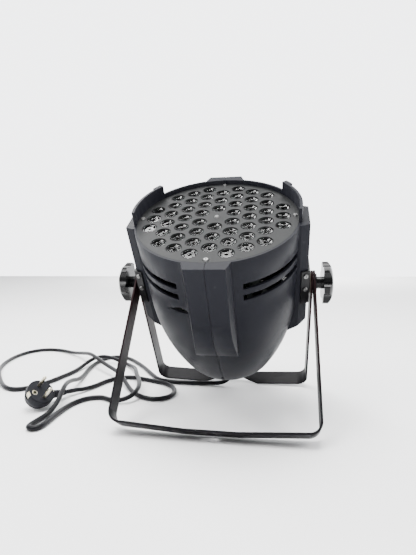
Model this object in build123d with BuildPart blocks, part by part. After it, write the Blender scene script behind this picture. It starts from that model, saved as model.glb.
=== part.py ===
from build123d import *
import os
from math import acos, atan2, cos, degrees, hypot, pi, radians, sin, tan

os.makedirs("parts", exist_ok=True)

# A die-cast LED par light that stands on its two opened yokes, in millimetres.
# +X runs along the pivot axis, +Y to the back and +Z up; the floor is at Z = 0.
# Heights in the lamp are measured along its own axis from the pivot axis.

# ---- stand ----
pivot_back = 12.3
lamp_tilt = 32.9
front_lean = 34.4
strip_width = 24.0
strip_thickness = 2.5
front_yoke_half = 121.7
front_yoke_reach = 192.0
rear_yoke_half = 118.3
rear_yoke_reach = 187.2
bar_bow = 5.0
bar_flat_half = 30.0
bend_radius = 15.0
tip_reach = 17.0
hang_hole_radius = 5.5
notch_half = 42.0
notch_floor_half = 17.0
notch_depth = 12.0

# ---- shell ----
face_height = 99.7
shell_top_radius = 101.5
waist_radius = 99.0
waist_height = 6.0
flank_radius = 273.0
flank_angle = 28.0
tail_corner = 20.0
wall = 3.2
rim_rise = 5.5
lug_rise = 17.0
lug_front_half = 17.0
lug_back_angle = 37.0
plate_radius = 98.6
plate_thickness = 2.0
seat_width = 2.4
parting_gap = 0.4

# ---- ribs ----
rib_reach = 111.0
side_rib_reach = 110.0
rib_half = 22.0
rib_base_half = 26.0
rib_end = -43.0
side_rib_end = -63.0

# ---- lamp matrix ----
led_pitch = 23.0
led_rings = 4
lens_hole_radius = 9.0
lens_radius = 9.7
lens_height = 11.0
dish_radius = 7.5
dish_depth = 1.4
dish_slope = 55
well_radius = 1.9
well_depth = 6.0
face_screw_circle = 4.08 * led_pitch

# ---- insides ----
board_radius = 92.0
board_thickness = 1.6
sink_base = 5.0
fin_height = 16.0
fin_pitch = 11.0
fan_size = 80.0
fan_depth = 25.0
control_height = -96.0

# ---- tail panel ----
panel_radius = 47.0
panel_opening = 41.0
panel_thickness = 2.0
socket_offset = 24.0
socket_drop = 9.0
gland_drop = 24.0

# ---- pivot hardware ----
bracket_thickness = 2.5
bracket_depth = 34.0
stud_radius = 4.0
running_gap = 0.06
knob_radius = 27.5
knob_thickness = 12.0
knob_start = 130.8
knob_lobes = 6
hub_radius = 8.0
turns_out = 2

# ---- cord ----
cord_diameter = 6.6
relief_length = 20.0

# ---- how it stands: both bars meet the floor with the strip's lower edge ----
half_strip = strip_width / 2
front_low = front_yoke_reach + bar_bow
pivot_height = front_low * cos(radians(front_lean)) + half_strip * sin(radians(front_lean))
bow_at_notch = bar_bow * (rear_yoke_half - notch_half) / (rear_yoke_half - bar_flat_half)
rear_low = rear_yoke_reach + bow_at_notch
rear_lean = degrees(acos(pivot_height / hypot(rear_low, half_strip)) + atan2(half_strip, rear_low))
print("pivot height", round(pivot_height, 3), "rear lean", round(rear_lean, 3))

# ---- planes ----
tilt = radians(lamp_tilt)
pivot = Vector(0, pivot_back, pivot_height)
lamp = Plane(origin=pivot, x_dir=(1, 0, 0), z_dir=(0, -sin(tilt), cos(tilt)))
section = Plane(origin=pivot, x_dir=(1, 0, 0), z_dir=-lamp.y_dir)
side_view = Plane(origin=pivot, x_dir=lamp.y_dir, z_dir=(1, 0, 0))
lamp_axis = Axis(pivot, lamp.z_dir)

# ---- the shell's outline: a straight collar, a long flank arc and a tail corner ----
turn = radians(flank_angle)
flank_centre = Vector(waist_radius - flank_radius, waist_height)
corner_centre = flank_centre + (flank_radius - tail_corner) * Vector(cos(turn), -sin(turn))
tail_height = corner_centre.Y - tail_corner
panel_height = tail_height - panel_thickness


def at(height):
    """A plane across the lamp, at a height along its axis."""
    return lamp.offset(height)


def shell_outline(inset, top):
    """Half of the shell's section, closed along its axis."""
    shoulder = flank_centre + (flank_radius - inset) * Vector(cos(turn), -sin(turn))
    tail = corner_centre + Vector(0, inset - tail_corner)
    with BuildLine(mode=Mode.PRIVATE) as outline:
        collar = Polyline((0, top), (shell_top_radius - inset, top), (waist_radius - inset, waist_height))
        flank = TangentArc(collar @ 1, (shoulder.X, shoulder.Y), tangent=(0, -1))
        corner = TangentArc(flank @ 1, (tail.X, tail.Y), tangent=flank % 1)
        Polyline(corner @ 1, (0, tail.Y), (0, top))
    return outline.line


def yoke_plane(lean):
    """The plane of a yoke's legs, with its Y axis from the bar to the pivot."""
    lean = radians(lean)
    return Plane(origin=pivot, x_dir=(1, 0, 0), z_dir=(0, -cos(lean), sin(lean)))


def bent_strip(plane, half, reach):
    """A flat strip bent into a U, with rounded ends and the stud's holes."""
    inner = half - strip_thickness
    low = reach + bar_bow
    leg_side = Plane(origin=pivot, x_dir=plane.z_dir, z_dir=(-1, 0, 0))
    end_arc = strip_width / 2
    with BuildPart() as bent:
        with BuildSketch(plane) as strip:
            with BuildLine():
                Polyline((-half, tip_reach), (-half, -reach), (-bar_flat_half, -low),
                         (bar_flat_half, -low), (half, -reach), (half, tip_reach),
                         (inner, tip_reach), (inner, strip_thickness - reach),
                         (bar_flat_half, strip_thickness - low),
                         (-bar_flat_half, strip_thickness - low),
                         (-inner, strip_thickness - reach), (-inner, tip_reach), close=True)
            make_face()
            outer_bends = strip.vertices().filter_by(lambda v: abs(v.X) > half - 1 and v.Y < 0)
            fillet(outer_bends, bend_radius)
            inner_bends = strip.vertices().filter_by(lambda v: abs(abs(v.X) - inner) < 1 and v.Y < 0)
            fillet(inner_bends.group_by(Axis.Y)[-1], bend_radius - strip_thickness)
        extrude(amount=strip_width / 2, both=True)
        with BuildSketch(leg_side):
            with Locations((0, tip_reach - end_arc / 2 + 1)):
                Rectangle(strip_width + 2, end_arc + 2)
            with Locations((0, tip_reach - end_arc)):
                Circle(end_arc, mode=Mode.SUBTRACT)
        extrude(amount=half + 1, both=True, mode=Mode.SUBTRACT)
        with BuildSketch(leg_side):
            Circle(stud_radius + running_gap)
        extrude(amount=half + 1, both=True, mode=Mode.SUBTRACT)
    return bent.part


# ======== yokes ========
front_plane = yoke_plane(front_lean)
front_bar = Plane(origin=front_plane.from_local_coords((0, -front_yoke_reach - bar_bow, 0)),
                  x_dir=(1, 0, 0), z_dir=front_plane.y_dir)
with BuildPart() as front_yoke:
    add(bent_strip(front_plane, front_yoke_half, front_yoke_reach))
    with BuildSketch(front_bar):
        Circle(hang_hole_radius)
    extrude(amount=strip_thickness + 1, both=True, mode=Mode.SUBTRACT)

rear_plane = yoke_plane(-rear_lean)
rear_bar = Plane(origin=rear_plane.from_local_coords((0, -rear_yoke_reach - bar_bow, 0)),
                 x_dir=(1, 0, 0), z_dir=rear_plane.y_dir)
near_edge = strip_width / 2
with BuildPart() as rear_yoke:
    add(bent_strip(rear_plane, rear_yoke_half, rear_yoke_reach))
    # the bar is narrower in the middle, where the tail's cord comes down
    with BuildSketch(rear_bar):
        with BuildLine():
            Polyline((-notch_half, -near_edge - 1), (notch_half, -near_edge - 1),
                     (notch_half, -near_edge), (notch_floor_half, notch_depth - near_edge),
                     (-notch_floor_half, notch_depth - near_edge), (-notch_half, -near_edge), close=True)
        make_face()
    extrude(amount=3 * strip_thickness, both=True, mode=Mode.SUBTRACT)

# ======== shell ========
tail_reach_inside = 60.0
rib_bend = 26.0
side_rib_bend = -43.0


def rib_bow(reach, bend_height, end_reach, end_height):
    """The middle of a rib's curved end, a little outside its chord."""
    run = Vector(end_reach - reach, end_height - bend_height)
    outward = Vector(-run.Y, run.X).normalized()
    return Vector(reach, bend_height) + run / 2 + outward * run.length / 20


def rib(turned, reach, top, bend_height, end_height, end_reach):
    """A broad rib with chamfered sides. It stands on the shell and dies into it at its end."""
    base = shell_top_radius - 1.5
    profile_plane = Plane(origin=pivot, x_dir=lamp.x_dir * cos(turned) + lamp.y_dir * sin(turned),
                          z_dir=lamp.x_dir * sin(turned) - lamp.y_dir * cos(turned))
    plan_plane = Plane(origin=lamp.origin + lamp.z_dir * top, x_dir=profile_plane.x_dir,
                       z_dir=lamp.z_dir)
    with BuildPart() as body:
        with BuildSketch(plan_plane):
            with BuildLine():
                Polyline((tail_reach_inside, -rib_base_half), (base, -rib_base_half), (reach, -rib_half),
                         (reach, rib_half), (base, rib_base_half), (tail_reach_inside, rib_base_half),
                         close=True)
            make_face()
        extrude(amount=end_height - top)
        with BuildSketch(profile_plane):
            with BuildLine():
                face = Line((reach, top), (reach, bend_height))
                front = ThreePointArc(face @ 1, rib_bow(reach, bend_height, end_reach, end_height + 4),
                                      (end_reach, end_height + 4))
                Polyline(front @ 1, (end_reach - 6, end_height), (tail_reach_inside, end_height),
                         (tail_reach_inside, top), (reach, top))
            make_face()
        extrude(amount=rib_base_half + 1, both=True, mode=Mode.INTERSECT)
    return body.part


# the casting before it is parted: shell, ribs, lugs, then everything cut from it
seat_height = face_height - plate_thickness
rim_height = face_height + rim_rise
beyond = 130.0


def sector(inner, outer, start, end):
    """A flat ring sector, by radii and angles."""
    with BuildSketch() as ring:
        with BuildLine():
            inside = CenterArc((0, 0), inner, start, end - start)
            outside = CenterArc((0, 0), outer, start, end - start)
            Line(inside @ 0, outside @ 0)
            Line(inside @ 1, outside @ 1)
        make_face()
    return ring.sketch


vent_heights = (face_height - 31.5, face_height - 47.0)
vent_width = 8.0
vent_near_rib = 21.5
vent_near_side = 15.2
boss_radius = 13.0
boss_inner = 86.0
front_end_reach = 98.5
side_end_reach = 92.0
rib_wall = 3.0
scoop_height = face_height - 71.0

with BuildPart() as casting:
    with BuildSketch(section):
        add(shell_outline(0, rim_height))
        make_face()
    revolve(axis=lamp_axis)
    add(rib(-pi / 2, rib_reach, face_height, rib_bend, rib_end, front_end_reach))
    add(rib(pi / 2, rib_reach, rim_height, rib_bend, rib_end, front_end_reach))
    add(rib(0, side_rib_reach, face_height, side_rib_bend, side_rib_end, side_end_reach))
    add(rib(pi, side_rib_reach, face_height, side_rib_bend, side_rib_end, side_end_reach))
    # lugs beside the face, each with a thicker end
    for side_angle, way in ((0, 1), (180, -1)):
        with BuildSketch(at(face_height - 1)):
            first, last = sorted((side_angle, side_angle + way * lug_back_angle))
            add(sector(plate_radius + 0.1, shell_top_radius + 0.6, first, last))
        extrude(amount=lug_rise + 1)
        with BuildSketch(at(face_height - 1)):
            thick = side_angle + way * (lug_back_angle - 7)
            first, last = sorted((thick, side_angle + way * lug_back_angle))
            add(sector(plate_radius + 0.1, shell_top_radius + 4.0, first, last))
        extrude(amount=lug_rise + 1)
    with BuildSketch(at(face_height - 1)):
        Rectangle(2 * side_rib_reach - 2, 2 * lug_front_half)
        Circle(shell_top_radius + 0.6, mode=Mode.INTERSECT)
        Circle(plate_radius, mode=Mode.SUBTRACT)
    extrude(amount=lug_rise + 1)
    # the rim in front of the lugs is level with the face
    with BuildSketch(at(face_height)):
        with Locations((0, -lug_front_half - beyond / 2)):
            Rectangle(2 * beyond, beyond)
    extrude(amount=2 * rim_rise, mode=Mode.SUBTRACT)
    # the hollow inside, and the ribs' own hollows
    with BuildSketch(section):
        add(shell_outline(wall, seat_height - 4))
        make_face()
    revolve(axis=lamp_axis, mode=Mode.SUBTRACT)
    with BuildSketch(at(seat_height)):
        Circle(plate_radius + 0.1)
    extrude(amount=lug_rise + 5, mode=Mode.SUBTRACT)
    with BuildSketch(at(seat_height - 5)):
        Circle(plate_radius - seat_width)
    extrude(amount=6, mode=Mode.SUBTRACT)
    for turned, reach in ((-pi / 2, rib_reach), (pi / 2, rib_reach), (0, side_rib_reach), (pi, side_rib_reach)):
        direction = lamp.x_dir * cos(turned) + lamp.y_dir * sin(turned)
        hollow_plane = Plane(origin=at(seat_height - 8).origin, x_dir=direction, z_dir=lamp.z_dir)
        with BuildSketch(hollow_plane):
            with BuildLine():
                Polyline((80, -rib_base_half + rib_wall + 1), (98, -rib_base_half + rib_wall + 1),
                         (reach - rib_wall, -rib_half + rib_wall), (reach - rib_wall, rib_half - rib_wall),
                         (98, rib_base_half - rib_wall - 1), (80, rib_base_half - rib_wall - 1), close=True)
            make_face()
        extrude(amount=-62, mode=Mode.SUBTRACT)
    # bosses for the pivot studs
    for boss_side in (1, -1):
        with BuildSketch(side_view.offset(boss_side * boss_inner)):
            Circle(boss_radius)
        extrude(amount=boss_side * (side_rib_reach - boss_inner - 1))
    with BuildSketch(side_view):
        Circle(stud_radius + running_gap)
    extrude(amount=side_rib_reach + 5, both=True, mode=Mode.SUBTRACT)
    # two vents, one over the other, in each quarter
    for quarter in range(4):
        start = 90 * quarter - 90
        first = start + (vent_near_rib if quarter in (0, 2) else vent_near_side)
        last = start + 90 - (vent_near_side if quarter in (0, 2) else vent_near_rib)
        for vent_height in vent_heights:
            with BuildSketch(at(vent_height)):
                add(sector(waist_radius - 12, shell_top_radius + 1.5, first, last))
            extrude(amount=-vent_width, mode=Mode.SUBTRACT)
    # a small drain slot low beside the front rib
    scoop_angle = radians(-114)
    scoop_plane = Plane(origin=at(scoop_height).origin,
                        x_dir=lamp.y_dir * cos(scoop_angle) - lamp.x_dir * sin(scoop_angle),
                        z_dir=lamp.x_dir * cos(scoop_angle) + lamp.y_dir * sin(scoop_angle))
    with BuildSketch(scoop_plane.offset(waist_radius - 9)):
        with BuildLine():
            Spline((-14, -2.5), (-4, 1.8), (9, 3.2), (14, -1.0), (6, -3.4), (-5, -3.2), periodic=True)
        make_face()
    extrude(amount=20, mode=Mode.SUBTRACT)
    # the tail's opening behind its panel
    with BuildSketch(at(tail_height - 1)):
        Circle(panel_opening)
    extrude(amount=12, mode=Mode.SUBTRACT)

with BuildPart() as housing_right:
    add(casting.part)
    split(bisect_by=Plane.YZ.offset(parting_gap / 2), keep=Keep.TOP)

with BuildPart() as housing_left:
    add(casting.part)
    split(bisect_by=Plane.YZ.offset(-parting_gap / 2), keep=Keep.BOTTOM)

# ======== face and lamp matrix ========
row = (sin(radians(60)) * led_pitch, led_pitch / 2)
led_points = []
for p in range(-led_rings, led_rings + 1):
    for q in range(-led_rings, led_rings + 1):
        ring = max(abs(p), abs(q), abs(p + q))
        corner = ring == led_rings and 0 in (p, q, p + q)
        if 0 < ring <= led_rings and not corner:
            led_points.append((p * row[0], p * row[1] + q * led_pitch))
face_screw_points = [(0, 0), (face_screw_circle, 0), (-face_screw_circle, 0),
                     (0, face_screw_circle), (0, -face_screw_circle)]
face_screw_radius = 1.5

with BuildPart() as face_plate:
    with BuildSketch(at(seat_height)):
        Circle(plate_radius)
        with Locations(*led_points):
            Circle(lens_hole_radius, mode=Mode.SUBTRACT)
        with Locations(*face_screw_points):
            Circle(face_screw_radius, mode=Mode.SUBTRACT)
    extrude(amount=plate_thickness)

holder_radius = 11.0
holder_bottom = seat_height - lens_height - 3.0
flange_thickness = 1.2
lens_top = seat_height + plate_thickness - 0.9
with BuildPart() as lenses:
    with BuildSketch(at(seat_height)):
        with Locations(*led_points):
            Circle(lens_radius)
    extrude(amount=-flange_thickness)
    with BuildSketch(at(seat_height)):
        with Locations(*led_points):
            Circle(lens_hole_radius - 0.5)
    extrude(amount=plate_thickness - 0.9, taper=20)
    with BuildSketch(at(seat_height - flange_thickness)):
        with Locations(*led_points):
            Circle(lens_radius - 0.7)
    extrude(amount=flange_thickness - lens_height, taper=22)
    # a dished top with a small well in the middle
    with BuildSketch(at(lens_top)):
        with Locations(*led_points):
            Circle(dish_radius)
    extrude(amount=-dish_depth, taper=dish_slope, mode=Mode.SUBTRACT)
    with BuildSketch(at(lens_top)):
        with Locations(*led_points):
            Circle(well_radius)
    extrude(amount=-well_depth, mode=Mode.SUBTRACT)

with BuildPart() as lens_holders:
    with BuildSketch(at(holder_bottom)):
        with Locations(*led_points):
            Circle(holder_radius)
            Circle(lens_radius + 0.1, mode=Mode.SUBTRACT)
    extrude(amount=seat_height - holder_bottom)

board_top = holder_bottom
with BuildPart() as led_board:
    with BuildSketch(at(board_top)):
        Circle(board_radius)
        with Locations((0, 0)):
            Circle(face_screw_radius + 0.2, mode=Mode.SUBTRACT)
    extrude(amount=-board_thickness)

with BuildPart() as led_emitters:
    with BuildSketch(at(board_top)):
        with Locations(*led_points):
            Rectangle(5.0, 5.0)
    extrude(amount=0.8)
    with BuildSketch(at(board_top + 0.8)):
        with Locations(*led_points):
            Circle(2.2)
    extrude(amount=1.0, taper=15)

sink_top = board_top - board_thickness
fin_count = 15
with BuildPart() as heat_sink:
    with BuildSketch(at(sink_top)):
        Circle(board_radius)
        Circle(face_screw_radius + 0.2, mode=Mode.SUBTRACT)
    extrude(amount=-sink_base)
    with BuildSketch(at(sink_top - sink_base)) as fins:
        with GridLocations(fin_pitch, 1, fin_count, 1):
            Rectangle(2.0, 2 * board_radius)
        Circle(board_radius - 4, mode=Mode.INTERSECT)
        Circle(5, mode=Mode.SUBTRACT)
    extrude(amount=-fin_height)
sink_bottom = sink_top - sink_base - fin_height

# one long screw through the middle, four short ones at the rim
with BuildPart() as face_screws:
    with BuildSketch(at(face_height)):
        with Locations(*face_screw_points):
            Circle(2.8)
    extrude(amount=1.5, taper=18)
    with BuildSketch(at(face_height)):
        with Locations(*face_screw_points[1:]):
            Circle(face_screw_radius)
    extrude(amount=-plate_thickness - 3)
    with BuildSketch(at(face_height)):
        Circle(face_screw_radius)
    extrude(amount=sink_bottom + fin_height - face_height + 1)
    with BuildSketch(at(face_height + 1.5)):
        with Locations(*face_screw_points):
            Rectangle(2.6, 0.7)
            Rectangle(0.7, 2.6)
    extrude(amount=-1.0, mode=Mode.SUBTRACT)

# ======== cooling fan under the sink ========
fan_top = sink_bottom - 4.0
hub_of_fan = 16.0
spindle_radius = 1.5
blade_tip = 36.0
fan_screw_grid = 71.5
with BuildPart() as fan_frame:
    with BuildSketch(at(fan_top)):
        RectangleRounded(fan_size, fan_size, 4)
        Circle(blade_tip + 1.5, mode=Mode.SUBTRACT)
        with GridLocations(fan_screw_grid, fan_screw_grid, 2, 2):
            Circle(2.2, mode=Mode.SUBTRACT)
    extrude(amount=-fan_depth)
    with BuildSketch(at(fan_top - fan_depth)):
        Circle(hub_of_fan)
        with PolarLocations(0, 4):
            with Locations((blade_tip / 2 + hub_of_fan / 2, 0)):
                Rectangle(blade_tip - hub_of_fan + 6, 4)
    extrude(amount=3)
    with BuildSketch(at(fan_top - fan_depth + 3)):
        Circle(spindle_radius)
    extrude(amount=14)

with BuildPart() as fan_rotor:
    with BuildSketch(at(fan_top - fan_depth + 3.5)):
        Circle(hub_of_fan)
        Circle(spindle_radius + running_gap, mode=Mode.SUBTRACT)
    extrude(amount=18)
    for blade in range(7):
        angle = 2 * pi * blade / 7
        out = lamp.x_dir * cos(angle) + lamp.y_dir * sin(angle)
        blade_plane = Plane(origin=at(fan_top - fan_depth + 12.5).origin, x_dir=out.cross(lamp.z_dir), z_dir=out)
        with BuildSketch(blade_plane.offset(hub_of_fan - 1)):
            Rectangle(17, 1.6, rotation=35)
        extrude(amount=blade_tip - hub_of_fan + 1)

with BuildPart() as fan_screws:
    with BuildSketch(at(fan_top - fan_depth)):
        with GridLocations(fan_screw_grid, fan_screw_grid, 2, 2):
            Circle(3.6)
    extrude(amount=-2.4)
    with BuildSketch(at(fan_top - fan_depth)):
        with GridLocations(fan_screw_grid, fan_screw_grid, 2, 2):
            Circle(2.0)
    extrude(amount=fan_depth + 4)

# ======== electronics ========
supply_height = -22.0
with BuildPart() as power_supply:
    with BuildSketch(at(supply_height)):
        Rectangle(116, 72)
        with GridLocations(106, 62, 2, 2):
            Circle(1.7, mode=Mode.SUBTRACT)
    extrude(amount=-board_thickness)
    with BuildSketch(at(supply_height)):
        with Locations((-22, 4)):
            Rectangle(28, 26)
    extrude(amount=21)
    with BuildSketch(at(supply_height)):
        with Locations((8, 18), (8, -16)):
            Circle(7)
    extrude(amount=20)
    with BuildSketch(at(supply_height)):
        with Locations((30, 0)):
            Rectangle(4, 60)
    extrude(amount=18)
    with BuildSketch(at(supply_height)):
        with Locations((-46, -14), (46, 10)):
            Rectangle(10, 22)
    extrude(amount=11)

with BuildPart() as supply_posts:
    with BuildSketch(at(supply_height - board_thickness)):
        with GridLocations(106, 62, 2, 2):
            Circle(3)
    extrude(amount=-6)
    with BuildSketch(at(supply_height - board_thickness)):
        with GridLocations(106, 62, 2, 2):
            Circle(1.6)
    extrude(amount=board_thickness + 2)

tray_height = supply_height - board_thickness - 6
with BuildPart() as tray:
    with BuildSketch(at(tray_height)):
        Circle(84)
        with Locations((0, 58), (0, -58)):
            RectangleRounded(60, 14, 5, mode=Mode.SUBTRACT)
    extrude(amount=-1.5)

# ======== tail panel ========
display_place = (0, 28.3)
button_row = 15.0
button_spacing = 10.0
button_names = ("button_menu", "button_down", "button_up", "button_enter")
button_radius = 2.9
button_gap = 0.25
socket_places = ((-socket_offset, -socket_drop), (socket_offset, -socket_drop))
gland_place = (0, -gland_drop)
panel_screw_points = [(39.5, 18.5), (-39.5, 18.5), (-16, -41), (16, -41)]
button_points = [((index - 1.5) * button_spacing, button_row) for index in range(4)]
display_size = (36.0, 15.0)
socket_body_radius = 11.8
gland_thread_radius = 6.0

with BuildPart() as rear_panel:
    with BuildSketch(at(tail_height)):
        Circle(panel_radius)
        with Locations(display_place):
            RectangleRounded(*display_size, 1, mode=Mode.SUBTRACT)
        with Locations(*button_points):
            Circle(button_radius + button_gap, mode=Mode.SUBTRACT)
        with Locations(*socket_places):
            Circle(socket_body_radius + 0.1, mode=Mode.SUBTRACT)
        with Locations(gland_place):
            Circle(gland_thread_radius + 0.1, mode=Mode.SUBTRACT)
        with Locations(*panel_screw_points):
            Circle(1.6, mode=Mode.SUBTRACT)
    extrude(amount=-panel_thickness)

with BuildPart() as panel_screws:
    with BuildSketch(at(panel_height)):
        with Locations(*panel_screw_points):
            Circle(3.0)
    extrude(amount=-1.6, taper=18)
    with BuildSketch(at(panel_height)):
        with Locations(*panel_screw_points):
            Circle(1.5)
    extrude(amount=panel_thickness)
    with BuildSketch(at(panel_height - 1.6)):
        with Locations(*panel_screw_points):
            Rectangle(2.8, 0.7)
            Rectangle(0.7, 2.8)
    extrude(amount=1.0, mode=Mode.SUBTRACT)

with BuildPart() as display_window:
    with BuildSketch(at(tail_height - 0.4)):
        with Locations(display_place):
            RectangleRounded(display_size[0] - 0.2, display_size[1] - 0.2, 0.9)
    extrude(amount=0.4 - panel_thickness)

with BuildPart() as display:
    with BuildSketch(at(tail_height)):
        with Locations(display_place):
            Rectangle(display_size[0] + 0.6, display_size[1] + 0.6)
    extrude(amount=8)
    with BuildSketch(at(tail_height)):
        with Locations(display_place):
            Rectangle(display_size[0] - 4, display_size[1] - 4)
    extrude(amount=-0.35)

with BuildPart() as control_board:
    with BuildSketch(at(tail_height + 8.1)):
        with Locations((0, 21)):
            Rectangle(58, 36)
    extrude(amount=board_thickness)
    with BuildSketch(at(tail_height + 8.1)):
        with Locations(*button_points):
            Rectangle(6, 6)
    extrude(amount=-3.5)
    with BuildSketch(at(tail_height + 8.1 + board_thickness)):
        with Locations((-12, 24), (12, 18)):
            Rectangle(14, 10)
    extrude(amount=4)

button_travel = 0.8
buttons = {}
for button_name, place in zip(button_names, button_points):
    with BuildPart() as button:
        with BuildSketch(at(panel_height - 1.6)):
            with Locations(place):
                Circle(button_radius)
        extrude(amount=panel_thickness + 1.6 + 0.2)
        with BuildSketch(at(tail_height + 0.2)):
            with Locations(place):
                Circle(button_radius + 0.7)
        extrude(amount=1.0)
        with BuildSketch(at(tail_height + 1.2)):
            with Locations(place):
                Circle(1.5)
        extrude(amount=8.1 - 3.5 - 1.2 - button_travel - 0.2)
    buttons[button_name] = button.part


def socket(place, bore_radius, bore_depth):
    """A panel connector's shell: a square flange outside, a round body inside, bored from outside."""
    with BuildPart() as shell:
        with BuildSketch(at(panel_height)):
            with Locations(place):
                RectangleRounded(26, 31, 3)
        extrude(amount=-2.0)
        with BuildSketch(at(panel_height)):
            with Locations(place):
                Circle(socket_body_radius)
        extrude(amount=20)
        with BuildSketch(at(panel_height - 2)):
            with Locations(place):
                Circle(bore_radius)
        extrude(amount=bore_depth + 2, mode=Mode.SUBTRACT)
        with BuildSketch(at(panel_height - 2)):
            with Locations((place[0] - 9.5, place[1] + 12), (place[0] + 9.5, place[1] - 12)):
                Circle(1.6)
        extrude(amount=0.9, mode=Mode.SUBTRACT)
    return shell.part


pin_ring = [(4.2 * cos(radians(a)), 4.2 * sin(radians(a))) for a in (200, 340, 270)]
male_place, female_place = socket_places
male_pins = [(male_place[0] + x, male_place[1] + y) for x, y in pin_ring]
female_holes = [(female_place[0] + x, female_place[1] + y) for x, y in pin_ring]
male_bore = 9.3
female_bore = 9.8
cup_depth = 14.0

with BuildPart() as dmx_in:
    add(socket(male_place, male_bore, cup_depth))

with BuildPart() as dmx_in_pins:
    with BuildSketch(at(panel_height + cup_depth)):
        with Locations(male_place):
            Circle(male_bore)
    extrude(amount=-2.5)
    with BuildSketch(at(panel_height + cup_depth - 2.5)):
        with Locations(*male_pins):
            Circle(1.2)
    extrude(amount=-10)

latch_slot = (6.0, 3.4)
latch_place = (female_place[0], female_place[1] + female_bore - 0.2)
with BuildPart() as dmx_out:
    add(socket(female_place, female_bore, cup_depth))
    with BuildSketch(at(panel_height - 3)):
        with Locations(latch_place):
            Rectangle(latch_slot[0] + 0.6, latch_slot[1] + 0.6)
    extrude(amount=12, mode=Mode.SUBTRACT)

with BuildPart() as dmx_out_insert:
    with BuildSketch(at(panel_height + cup_depth)):
        with Locations(female_place):
            Circle(7.4)
        with Locations(*female_holes):
            Circle(1.4, mode=Mode.SUBTRACT)
    extrude(amount=-13)
    with BuildSketch(at(panel_height + cup_depth)):
        with Locations(female_place):
            Circle(female_bore)
    extrude(amount=-1.5)

with BuildPart() as dmx_latch:
    with BuildSketch(at(panel_height + 5.5)):
        with Locations(latch_place):
            Rectangle(*latch_slot)
    extrude(amount=-9.5)


# ======== cable gland, in the tail panel ========
hex_across = 17.0
gland_at = Plane(origin=at(panel_height).from_local_coords((0, -gland_drop, 0)), x_dir=(1, 0, 0), z_dir=-lamp.z_dir)
relief_base = 5.8
relief_tip = 4.1
gland_collar = 3.0
with BuildPart() as cable_gland:
    with BuildSketch(gland_at):
        RegularPolygon(hex_across / 2, 6, major_radius=False)
    extrude(amount=gland_collar)
    with BuildSketch(gland_at):
        Circle(gland_thread_radius)
    extrude(amount=-panel_thickness - 9)
    with BuildSketch(gland_at.offset(gland_collar)):
        Circle(relief_base - 1)
    extrude(amount=-gland_collar - panel_thickness - 9, mode=Mode.SUBTRACT)

with BuildPart() as gland_nut:
    with BuildSketch(gland_at.offset(-panel_thickness)):
        RegularPolygon(hex_across / 2, 6, major_radius=False)
        Circle(gland_thread_radius, mode=Mode.SUBTRACT)
    extrude(amount=-4)


def boot(plane, length, base_radius, tip_radius):
    """A tapered strain relief with grooves round it. It stands on a plane."""
    grooves = 4
    pitch = length / (grooves + 1)
    slope = (base_radius - tip_radius) / length
    with BuildPart() as cone:
        with BuildSketch(Plane(origin=plane.origin, x_dir=plane.x_dir, z_dir=-plane.y_dir)):
            with BuildLine():
                Polyline((0, 0), (base_radius, 0), (tip_radius, length), (0, length), close=True)
            make_face()
        revolve(axis=Axis(plane.origin, plane.z_dir))
        for groove in range(grooves):
            height = pitch * (groove + 1)
            radius = base_radius - slope * height
            with BuildSketch(plane.offset(height - 0.6)):
                Circle(radius + 1)
                Circle(radius - 0.8, mode=Mode.SUBTRACT)
            extrude(amount=1.2, mode=Mode.SUBTRACT)
    return cone.part


with BuildPart() as strain_relief:
    add(boot(gland_at.offset(gland_collar), relief_length, relief_base, relief_tip))
    with BuildSketch(gland_at.offset(gland_collar)):
        Circle(relief_base - 1)
    extrude(amount=-gland_collar - panel_thickness - 9)

# ======== pivot hardware: bracket, friction disc, washers and clamp knob on each side ========
bracket_low = -14.0
bracket_high = 36.0
rim_of_bracket = [(side_rib_reach, 0), (side_rib_reach, -22), (101.5, -25.5), (102.43, -27.82),
                  (112.5, -23.69), (112.5, 0)]
boss_face = 114.3
disc_face = 115.7
washer_start = 118.4
clamp_start = 121.8
clamp_thickness = 1.5
flange_screw_heights = (9.0, 29.0)
flange_screw_place = (107.1, 25.5)
flange_slope = 21.6

with BuildPart() as bracket_right:
    with BuildSketch(at(bracket_low)):
        with BuildLine():
            Polyline(*rim_of_bracket, close=True)
        make_face()
        mirror(about=Plane.XZ)
    extrude(amount=bracket_high - bracket_low)
    with BuildSketch(side_view.offset(side_rib_reach + bracket_thickness)):
        Circle(16)
    extrude(amount=boss_face - side_rib_reach - bracket_thickness, taper=70)
    with BuildSketch(side_view.offset(side_rib_reach - 1)):
        Circle(stud_radius + running_gap)
    extrude(amount=8, mode=Mode.SUBTRACT)

with BuildPart() as friction_disc_right:
    with BuildSketch(side_view.offset(boss_face)):
        Circle(13)
        Circle(stud_radius + running_gap, mode=Mode.SUBTRACT)
    extrude(amount=disc_face - boss_face)

with BuildPart() as yoke_washer_right:
    with BuildSketch(side_view.offset(washer_start)):
        Circle(11)
        Circle(stud_radius + running_gap, mode=Mode.SUBTRACT)
    extrude(amount=front_yoke_half - strip_thickness - washer_start)

with BuildPart() as clamp_washer_right:
    with BuildSketch(side_view.offset(clamp_start)):
        Circle(12)
        Circle(stud_radius + running_gap, mode=Mode.SUBTRACT)
    extrude(amount=clamp_thickness)

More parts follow.
